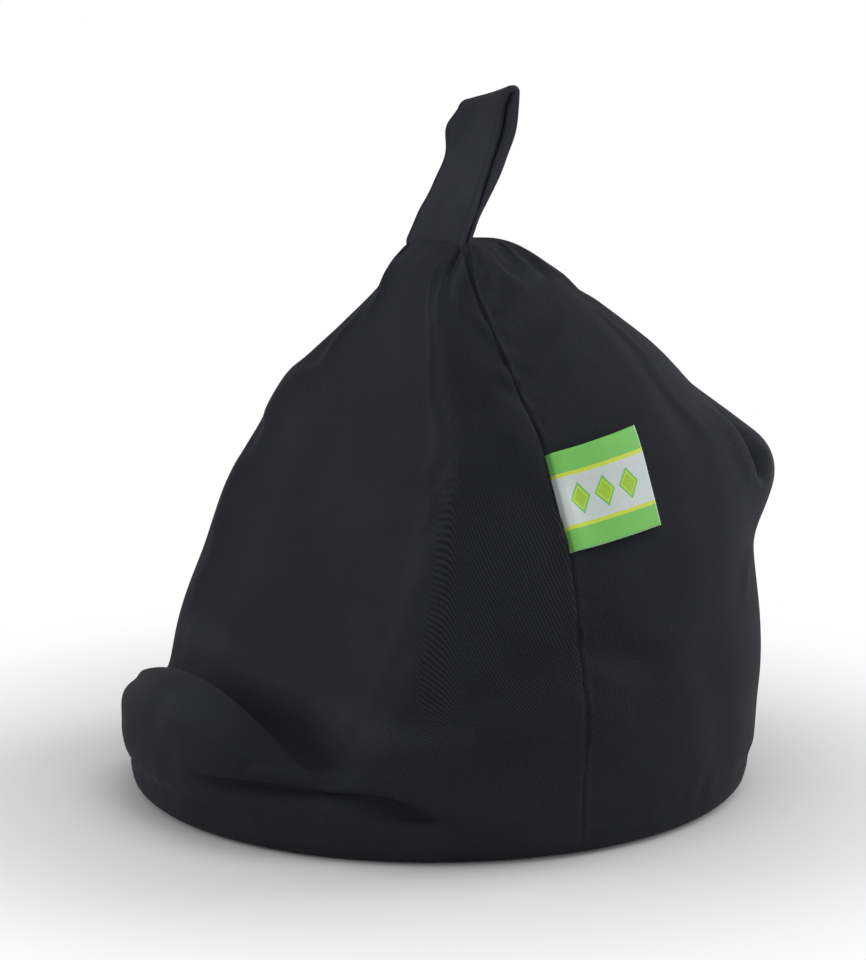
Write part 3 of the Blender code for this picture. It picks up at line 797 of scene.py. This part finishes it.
def strapStation(share, rear):
    footTilt = math.atan(bag["topTilt"])
    tilt = footTilt + (strap["topTilt"] - footTilt) * max(share, 0.0)
    twist = strap["twist"] * ease(0.0, 0.7, share)
    level = np.array([math.cos(twist), math.sin(twist), 0.0])
    wide = level * math.cos(tilt) + np.array([0.0, 0.0, math.sin(tilt)])
    bend = ease(-0.3, 0.95, max(share, 0.0)) - ease(-0.3, 0.95, 0.0)
    opening = ease(0.05, 0.9, share)
    outer = strap["footOuter"] + (strap["topOuter"] - strap["footOuter"]) * opening
    inner = (strap["footGap"] + (strap["topGap"] - strap["footGap"]) * opening) / 2
    side = (outer + inner) / 2 * (1 if rear else -1)
    y = bag["topSeamY"] + strap["lean"] * bend + side
    place = np.array([0.0, y, bag["height"] + strap["gap"] + strap["rise"] * share])
    return place, wide, outer - inner


def strapPath():  # places, width directions and thickness: up the front ply, over, down the rear
    shares = np.concatenate(([-strap["sunk"] / strap["rise"]], np.linspace(0, 1, strap["steps"])))
    front = [strapStation(share, False) for share in shares]
    rear = [strapStation(share, True) for share in shares[::-1]]
    top, wide, ply = (front[-1][0] + rear[0][0]) / 2, front[-1][1], front[-1][2]
    radius = strap["topOuter"] - ply / 2
    fold = [(top + radius * np.array([0.0, -math.cos(turn), math.sin(turn)]), wide, ply)
            for turn in np.linspace(0, math.pi, strap["foldSteps"] + 1)[1:-1]]
    return front + fold + rear


def bandSection():  # share of the half thickness across the band, and the groove of the stitches
    half = strap["width"] / 2
    inset = half - strap["stitchInset"]
    across = np.unique(np.concatenate((half - np.array(edgePoints) * mm,
                                       np.linspace(0, half - 5.6 * mm, 9))))
    across = np.concatenate((-across[:0:-1], across))
    edge = np.clip((half - np.abs(across)) / strap["edgeRoll"], 0, 1)
    full = (1 - (1 - edge) ** 3) ** (1 / 2.2)
    groove = strap["stitchPull"] * np.exp(-((np.abs(across) - inset) / (0.55 * mm)) ** 2)
    return across, full, groove


def makeStrap():
    rng = np.random.default_rng(strap["seed"])
    path = strapPath()
    centres, wides, plies = (np.array([station[k] for station in path]) for k in range(3))
    ahead = unit(np.gradient(centres, axis=0))
    outward = unit(np.cross(wides, ahead))
    length = travelled(centres)
    across, full, groove = bandSection()
    thick = np.maximum(plies[:, None] / 2 * full - groove, 0)
    fromFold = length - length[-1] / 2
    front = ease(-0.02 * strap["rise"], 0.16 * strap["rise"], -fromFold)
    upper = 1 - ease(0.45 * strap["rise"], 0.95 * strap["rise"], np.abs(fromFold))
    corner = strap["cornerPull"] * np.exp(-(fromFold / strap["cornerRun"]) ** 2)
    rear = (1 - front) * (1 - ease(0.6 * strap["rise"], strap["rise"], np.abs(fromFold)))
    drawn = np.stack([corner + strap["askew"] * upper * (1 - front),
                      strap["askew"] * upper * front - strap["spread"] * rear])
    drawn = drawn[:, :, None] / (strap["width"] / 2)
    sway = ripple(waves(rng, 3, 18 * mm, 40 * mm), length)[:, None] * strap["sway"]
    puff = ripple(waves(rng, 3, 9 * mm, 20 * mm), length)[:, None] * strap["puff"]
    soft = ease(0, 12 * mm, np.minimum(length, length[-1] - length))[:, None]
    curl = strap["curl"] * np.exp(-((fromFold + strap["curlAt"]) / strap["curlRun"]) ** 2)[:, None]
    lines = {}
    rings = []
    for sign in (1, -1):
        order = across if sign == 1 else across[::-1]
        depth = thick if sign == 1 else thick[:, ::-1]
        shift = sway * (order / strap["width"]) + puff * np.sin(order * strap["puffWaves"])
        shift = shift * soft + curl * np.clip(-2 * order / strap["width"], 0, 1) ** 2
        reach = order * (1 - np.where(order < 0, drawn[0], drawn[1]))
        points = (centres[:, None] + wides[:, None] * reach[..., None]
                  + outward[:, None] * (sign * depth + shift)[..., None])
        rings.append(points if sign == 1 else points[:, 1:-1])
        if sign == 1:
            for name, at in (("left", -1), ("right", 1)):
                inset = at * (strap["width"] / 2 - strap["stitchInset"])
                k = int(np.argmin(np.abs(order - inset)))
                lines[name] = points[:, k] + outward * 0.06 * mm
    section = np.concatenate(rings, axis=1)
    stations, around = section.shape[:2]
    i, j = np.meshgrid(np.arange(stations - 1), np.arange(around), indexing="ij")
    beside = (j + 1) % around
    faces = quadList(i * around + j, i * around + beside, (i + 1) * around + beside,
                     (i + 1) * around + j)
    ring = section[40]  # any one of them, to measure the way round
    girth = travelled(np.concatenate((ring, ring[:1])))
    uv = np.stack([np.stack([girth[j + a] + 0.01, length[i + b] + 0.01], axis=-1)
                   for a, b in ((0, 0), (1, 0), (1, 1), (0, 1))], axis=2)
    faces.append(tuple(range(around - 1, -1, -1)))
    faces.append(tuple((stations - 1) * around + k for k in range(around)))
    uvs = np.concatenate((uv.reshape(-1, 2), np.full((2 * around, 2), 0.01)))
    band = addPiece("carryStrapBand", section.reshape(-1, 3), faces, strapDrillPaintedLighter, uvs)
    addFloats(band, "twill", np.full(stations * around, 0.2))
    near = np.concatenate((across, across[::-1][1:-1]))
    # the band's edges are painted paler, partly as rubbed wear and partly as a painted edge
    # highlight
    rubAndEdgeHighlight = 0.5 * np.exp(-((strap["width"] / 2 - np.abs(near)) / (0.9 * mm)) ** 2)
    addFloats(band, "wearAndPaintedLight", np.tile(rubAndEdgeHighlight, stations))
    return band, lines


band, stitchLines = makeStrap()
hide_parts("carry_strap")
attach(band, "root")


# Stitches: one short thread after another along a line, by Geometry Nodes

stitch = {"Stitch length": 2.5 * mm, "Pitch": 3.1 * mm, "Thread": 0.42 * mm}


def stitchTree(material):
    tree = bpy.data.node_groups.new("stitchRow", "GeometryNodeTree")
    tree.interface.new_socket("Geometry", in_out="INPUT", socket_type="NodeSocketGeometry")
    for name in stitch:
        tree.interface.new_socket(name, in_out="INPUT", socket_type="NodeSocketFloat")
    tree.interface.new_socket("Geometry", in_out="OUTPUT", socket_type="NodeSocketGeometry")
    given = tree.nodes.new("NodeGroupInput").outputs
    line = addNode(tree, "GeometryNodeMeshToCurve", inputs={"Mesh": given["Geometry"]})
    points = addNode(tree, "GeometryNodeCurveToPoints", {"mode": "LENGTH"},
                     {"Curve": line, "Length": given["Pitch"]}).outputs
    bead = addNode(tree, "GeometryNodeMeshIcoSphere", inputs={"Radius": 0.5, "Subdivisions": 2})
    size = addNode(tree, "CombineXYZ", inputs={"X": given["Thread"], "Y": given["Thread"],
                                               "Z": given["Stitch length"]})
    spread = addNode(tree, "FunctionNodeRandomValue", {"data_type": "FLOAT"},
                     {2: 0.85, 3: 1.1, "Seed": 3})
    scale = addNode(tree, "VectorMath", {"operation": "SCALE"},
                    {"Vector": size, "Scale": spread.outputs[1]})
    placed = addNode(tree, "GeometryNodeInstanceOnPoints", inputs={
        "Points": points["Points"], "Instance": bead, "Rotation": points["Rotation"],
        "Scale": scale})
    real = addNode(tree, "GeometryNodeRealizeInstances", inputs={"Geometry": placed})
    smooth = addNode(tree, "GeometryNodeSetShadeSmooth", inputs={"Geometry": real})
    finish = addNode(tree, "GeometryNodeSetMaterial", inputs={"Geometry": smooth,
                                                              "Material": material})
    addNode(tree, "NodeGroupOutput", inputs={"Geometry": finish})
    return tree


def makeStitches(name, lines, tree):
    vertices, edges = [], []
    for line in lines:
        start = len(vertices)
        vertices += [tuple(map(float, point)) for point in line]
        edges += [(start + k, start + k + 1) for k in range(len(line) - 1)]
    mesh = bpy.data.meshes.new(name + "Line")
    mesh.from_pydata(vertices, edges, [])
    source = addObject(name + "Line", mesh)
    rows = source.modifiers.new("stitches", "NODES")
    rows.node_group = tree
    for item in tree.interface.items_tree:
        if item.name in stitch:
            rows[item.identifier] = stitch[item.name]
    graph = bpy.context.evaluated_depsgraph_get()
    made = bpy.data.meshes.new_from_object(source.evaluated_get(graph))
    bpy.data.objects.remove(source, do_unlink=True)
    return addObject(name, made)


stitches = makeStitches("strapStitching", [line[3:-3] for line in stitchLines.values()],
                        stitchTree(thread))
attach(stitches, "root")
print("strap made:", len(band.data.polygons), "faces,", len(stitches.data.polygons),
      "in the stitches")


# The side label: a woven ribbon, folded in half, its ends sewn into the right side seam

label = {
    **inMetres(width=38.3, reach=40.8, low=113.5, start=-0.3, ribbon=0.42, seat=1.0, lift=0.9,
               loop=0.39, sunk=1.7, bow=0.25, clear=3.5,  # from the seam, where it rests
               probe=12.0),
    "rise": 0.10, "acrossSteps": 64, "alongSteps": 44, "foldSteps": 8, "smoothing": 6, "seed": 4,
}


def labelPlace(along, across):
    middle = label["low"] + label["width"] / 2
    leanHere = (curveThrough(sideReach, middle + 10 * mm)
                - curveThrough(sideReach, middle - 10 * mm)) / 0.02
    height = label["low"] + along / math.hypot(1.0, leanHere) + across * label["rise"]
    x, y = wall(math.pi / 2 + across / curveThrough(backReach, height), height)
    return np.array([x, y, height], float)


def labelGround(tree, along, across):
    step, probe = 0.5 * mm, label["probe"]
    beyond = max(across, label["clear"])
    place = labelPlace(along, beyond)
    normal = unit(np.cross(labelPlace(along, beyond + step) - place,
                           labelPlace(along + step, beyond) - place))
    reach = tree.ray_cast(Vector(place + normal * probe), Vector(-normal))[3]
    return labelPlace(along, across) + normal * (probe - reach), normal


def makeLabel(cover):
    rng = np.random.default_rng(label["seed"])
    tree = BVHTree.FromObject(cover, bpy.context.evaluated_depsgraph_get())
    n, m = label["alongSteps"], label["acrossSteps"]
    ground, normal = np.zeros((2, n + 1, m + 1, 3))
    for i in range(n + 1):
        for j in range(m + 1):
            across = label["start"] + label["reach"] * j / m
            ground[i, j], normal[i, j] = labelGround(tree, label["width"] * i / n, across)
    for _ in range(label["smoothing"]):
        ground[1:-1] = (ground[:-2] + 2 * ground[1:-1] + ground[2:]) / 4
        ground[:, 1:-1] = (ground[:, :-2] + 2 * ground[:, 1:-1] + ground[:, 2:]) / 4
    share = np.linspace(0, 1, m + 1)[None, :]
    straight = (ground[-1:] - ground[:1]) * np.linspace(0, 1, n + 1)[:, None, None]
    ground += (ground[:1] + straight - ground) * (1 - ease(0.0, 0.25, share))[..., None]
    bow = ripple(waves(rng, 2, 30 * mm, 60 * mm), share * label["reach"]) * label["bow"]
    lift = label["seat"] + label["lift"] * ease(0.1, 0.6, share)
    lift = lift + bow * ease(0.1, 0.4, share)
    dip = label["sunk"] * (1 - ease(0.0, 0.05, share))  # it comes up out of the seam
    half, loop = label["ribbon"] / 2, label["loop"]
    inner = ground + normal * (lift - dip + half)[..., None]
    outer = inner + normal * (loop * 2 * ease(0.0, 0.12, share) + 0.02 * mm)[..., None]
    tip = (inner[:, -1] + outer[:, -1]) / 2
    ahead = unit(outer[:, -1] - outer[:, -3])
    fold = [tip + normal[:, -1] * loop * math.cos(turn) + ahead * loop * math.sin(turn)
            for turn in np.linspace(0, math.pi, label["foldSteps"] + 1)[1:-1]]
    centre = np.concatenate([outer, np.stack(fold, axis=1), inner[:, ::-1]], axis=1)
    face = unit(np.cross(unit(np.gradient(centre, axis=1)), unit(np.gradient(centre, axis=0))))
    ring = np.concatenate([centre + face * half, (centre - face * half)[:, ::-1]], axis=1)
    steps = ring.shape[1]
    travel = travelled(centre, axis=1)
    travel = np.concatenate((travel, travel[:, ::-1]), axis=1)
    up = np.linspace(0, label["width"], n + 1)
    quads = [[(i, j), (i, (j + 1) % steps), (i + 1, (j + 1) % steps), (i + 1, j)]
             for i in range(n) for j in range(steps)]
    for j in range(steps // 2 - 1):  # the lower and the upper edge
        far = steps - 1 - j
        quads += [[(0, j), (0, far), (0, far - 1), (0, j + 1)],
                  [(n, j + 1), (n, far - 1), (n, far), (n, j)]]
    faces = [tuple(i * steps + j for i, j in quad) for quad in quads]
    uvs = [(travel[i, j], up[i]) for quad in quads for i, j in quad]
    return addPiece("sideLabelRibbon", ring.reshape(-1, 3), faces, ribbon, uvs)


tag = makeLabel(cover)
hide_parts("side_label")
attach(tag, "root")
print("label made:", len(tag.data.polygons), "faces")


# Floor, lamps and world

studio = {"floorSize": 9.0, "floorColour": "#eeeeee", "world": 0.49,
          "lit": 0.13, "white": 0.30}  # metres from the middle, between which the floor fades
lamps = [("overheadSoftbox", (0.10, 0.20, 1.60), 1.3, 5.2),  # name, place, size and power
         ("leftSoftbox", (-0.9, -1.3, 0.5), 1.0, 7.2),
         ("frontSoftbox", (1.5, 0.2, 0.6), 1.0, 1.6),
         ("rightSoftbox", (0.0, 1.5, 0.7), 1.0, 11.5)]


def makeFloor():  # matt white sweep: lit and shadowed round the cushion, plain white further off
    material, tree, shader = newMaterial("whiteSweep")
    away = addNode(tree, "VectorMath", {"operation": "LENGTH"}, {0: objectPlace(tree)})
    fade = addNode(tree, "MapRange", {"interpolation_type": "SMOOTHSTEP"},
                   {"Value": away.outputs["Value"], "From Min": studio["lit"],
                    "From Max": studio["white"]})
    ray = addNode(tree, "LightPath").outputs
    seen = math2("MAXIMUM", ray["Is Camera Ray"],
                 math2("MAXIMUM", ray["Is Glossy Ray"], ray["Is Transmission Ray"]))
    glow = addNode(tree, "Emission", inputs={"Color": (1, 1, 1, 1), "Strength": 1.0})
    finishShader(shader, studio["floorColour"], 0.9, 0.1)
    both = addNode(tree, "MixShader", inputs={0: times(seen, fade.outputs[0]), 1: shader, 2: glow})
    plugIn(tree.nodes["Material Output"], {"Surface": both})
    size = studio["floorSize"]
    corners = [(-size, -size, 0), (size, -size, 0), (size, size, 0), (-size, size, 0)]
    floor = addPiece("studioFloor", corners, [(0, 1, 2, 3)], material)


def makeLight():
    world = bpy.data.worlds.new("whiteRoom")
    world.use_nodes = True
    tree = world.node_tree
    ray = addNode(tree, "LightPath").outputs["Is Camera Ray"]
    strength = addNode(tree, "MapRange", inputs={"Value": ray, "To Min": studio["world"],
                                                 "To Max": 1.0})
    plugIn(tree.nodes["Background"], {"Color": (1, 1, 1, 1), "Strength": strength})
    bpy.context.scene.world = world
    for name, place, size, power in lamps:
        lamp = bpy.data.lights.new(name, "AREA")
        setAll(lamp, {"shape": "DISK", "size": size, "energy": power})
        aim(addObject(name, lamp), place, Vector((0.0, 0.0, 0.12)) - Vector(place))


makeFloor()
makeLight()
view = bpy.context.scene.view_settings
view.view_transform = "Standard"
print("studio made")
